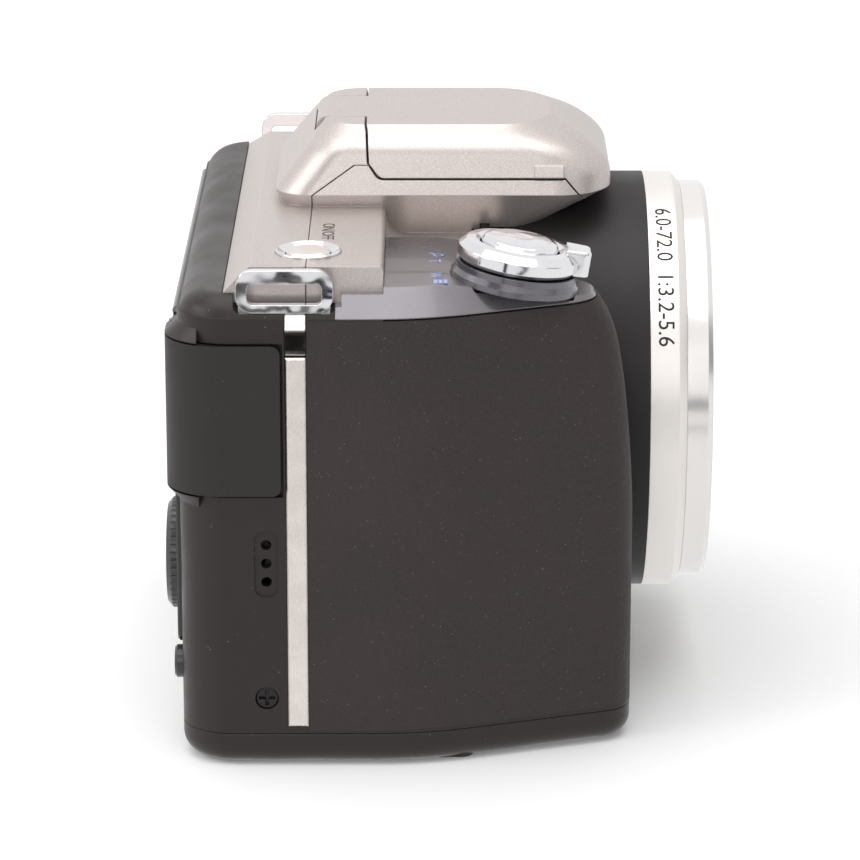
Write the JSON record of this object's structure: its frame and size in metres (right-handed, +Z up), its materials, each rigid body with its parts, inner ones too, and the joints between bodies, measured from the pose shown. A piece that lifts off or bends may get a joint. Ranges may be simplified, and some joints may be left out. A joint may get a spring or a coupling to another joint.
{
  "type": "bridge camera",
  "caption": "Compact superzoom bridge camera with a deep side grip, telescoping lens, lift-up flash, top release with zoom lever, rear display and keys.",
  "frame": {"origin": "mouth of the tripod socket, on the flat base below the lens axis", "axes": "+Z up, -Y where the lens looks, -X the grip side, with the base at Z = 0"},
  "size_m": [0.1088, 0.0855, 0.0906],
  "materials": {
    "casing_black": "fine satin moulding",
    "grip_skin": "soft-touch leather grain",
    "flap_rubber": "soft, matt",
    "deck_champagne": "satin metallic with fine sparkle",
    "bright_chrome": "polished",
    "satin_trim": "satin with fine scratches",
    "panel_grey": "gloss metallic",
    "collar_grey": "gloss dark metallic",
    "ring_silver": "finely turned satin",
    "barrel_black": "matt black",
    "lens_glass": "coated optical glass",
    "optic_black": "matt",
    "clear_window": "clear, ribbed",
    "lamp_bright": "mirror trough",
    "rear_gloss": "gloss black",
    "display_glass": "polished dark window",
    "key_black": "satin black",
    "steel": "plain",
    "screw_black": "blackened",
    "insert_metal": "nickel-plated",
    "contact_metal": "plated",
    "board": "solder mask",
    "cell_wrap": "plain printed sleeve",
    "inner_plastic": "plain"
  },
  "bodies": {
    "camera": {"front_shell": "casing_black", "rear_cover": "casing_black", "base_plate": "casing_black", "grip_rubber": "grip_skin", "deck_rear": "deck_champagne", "deck_front": "deck_champagne", "strap_plates": "bright_chrome", "trim_cap": "bright_chrome", "power_bezel": "bright_chrome", "side_trim": "satin_trim", "control_panel": "panel_grey", "zoom_collar": "collar_grey", "lens_number_ring": "ring_silver", "lens_front_ring": "ring_silver", "lens_barrel": "barrel_black", "rear_lens_element": "lens_glass", "lens_base": "optic_black", "focus_lamp_window": "clear_window", "rear_plate": "rear_gloss", "display_window": "display_glass", "wheel_hub": "key_black", "hinge_pins": "steel", "chassis": "steel", "card_slot": "steel", "casing_screws": "screw_black", "tripod_bush": "insert_metal", "connector_sockets": "contact_metal", "main_board": "board", "key_board": "board", "sensor_board": "board", "top_switches": "board", "battery_cells": "cell_wrap", "memory_card": "cell_wrap", "battery_holder": "inner_plastic", "speaker": "inner_plastic", "display_module": "inner_plastic", "zoom_motor": "inner_plastic", "flash_capacitor": "inner_plastic"},
    "flash": {"flash_head": "deck_champagne", "flash_carrier": "optic_black", "flash_window": "clear_window", "flash_lamp": "lamp_bright"},
    "zoom_ring": {"zoom_lever": "bright_chrome"},
    "shutter": {"shutter_button": "bright_chrome"},
    "power_key": {"power_button": "satin_trim"},
    "wheel": {"control_wheel": "key_black"},
    "ok_key": {"ok_button": "key_black"},
    "movie_key": {"movie_button": "key_black"},
    "playback_key": {"playback_button": "key_black"},
    "menu_key": {"menu_button": "key_black"},
    "delete_key": {"delete_button": "key_black"},
    "side_flap": {"connector_cover": "flap_rubber"},
    "door": {"battery_door": "casing_black", "door_contacts": "contact_metal"},
    "door_catch": {"battery_latch": "casing_black"},
    "outer_stage": {"lens_stage_one": "barrel_black"},
    "inner_stage": {"lens_stage_two": "barrel_black", "front_lens_element": "lens_glass", "front_lens_cell": "barrel_black", "middle_lens_group": "optic_black"}
  },
  "joints": [
    {"name": "flash_lift", "type": "hinge", "parent": "camera", "child": "flash", "pos_m": [0, 0.0124, 0.0888], "axis": [-1, 0, 0], "range_deg": [0, 55]},
    {"name": "zoom_turn", "type": "hinge", "parent": "camera", "child": "zoom_ring", "pos_m": [-0.0466, -0.017, 0.0751], "axis": [0, -0.1564, 0.9877], "range_deg": [-20, 20], "stiffness_Nm_per_rad": 0.02},
    {"name": "shutter_press", "type": "slide", "parent": "camera", "child": "shutter", "axis": [0, 0.1564, -0.9877], "range_m": [0, 0.001], "stiffness_N_per_m": 1500},
    {"name": "power_press", "type": "slide", "parent": "camera", "child": "power_key", "axis": [0, 0, -1], "range_m": [0, 0.0007], "stiffness_N_per_m": 2500},
    {"name": "wheel_turn", "type": "hinge", "parent": "camera", "child": "wheel", "pos_m": [-0.0405, 0.0343, 0.0283], "axis": [0, 1, 0], "continuous": true},
    {"name": "ok_press", "type": "slide", "parent": "camera", "child": "ok_key", "axis": [0, -1, 0], "range_m": [0, 0.0005], "stiffness_N_per_m": 3000},
    {"name": "movie_press", "type": "slide", "parent": "camera", "child": "movie_key", "axis": [0, -1, 0], "range_m": [0, 0.0005], "stiffness_N_per_m": 3000},
    {"name": "playback_press", "type": "slide", "parent": "camera", "child": "playback_key", "axis": [0, -1, 0], "range_m": [0, 0.0005], "stiffness_N_per_m": 3000},
    {"name": "menu_press", "type": "slide", "parent": "camera", "child": "menu_key", "axis": [0, -1, 0], "range_m": [0, 0.0005], "stiffness_N_per_m": 3000},
    {"name": "delete_press", "type": "slide", "parent": "camera", "child": "delete_key", "axis": [0, -1, 0], "range_m": [0, 0.0005], "stiffness_N_per_m": 3000},
    {"name": "side_flap_hinge", "type": "hinge", "parent": "camera", "child": "side_flap", "pos_m": [-0.0494, 0.0353, 0.0438], "axis": [0, 0, -1], "range_deg": [0, 100]},
    {"name": "battery_door_hinge", "type": "hinge", "parent": "camera", "child": "door", "pos_m": [-0.0218, 0, 0.0011], "axis": [0, -1, 0], "range_deg": [0, 100]},
    {"name": "catch_slide", "type": "slide", "parent": "door", "child": "door_catch", "axis": [1, 0, 0], "range_m": [0, 0.0025]},
    {"name": "outer_stage_slide", "type": "slide", "parent": "camera", "child": "outer_stage", "axis": [0, -1, 0], "range_m": [0, 0.016]},
    {"name": "inner_stage_slide", "type": "slide", "parent": "outer_stage", "child": "inner_stage", "axis": [0, -1, 0], "range_m": [0, 0.016]}
  ],
  "couplings": [
    {"joint": "inner_stage_slide", "follows": "outer_stage_slide", "ratio": 1}
  ]
}
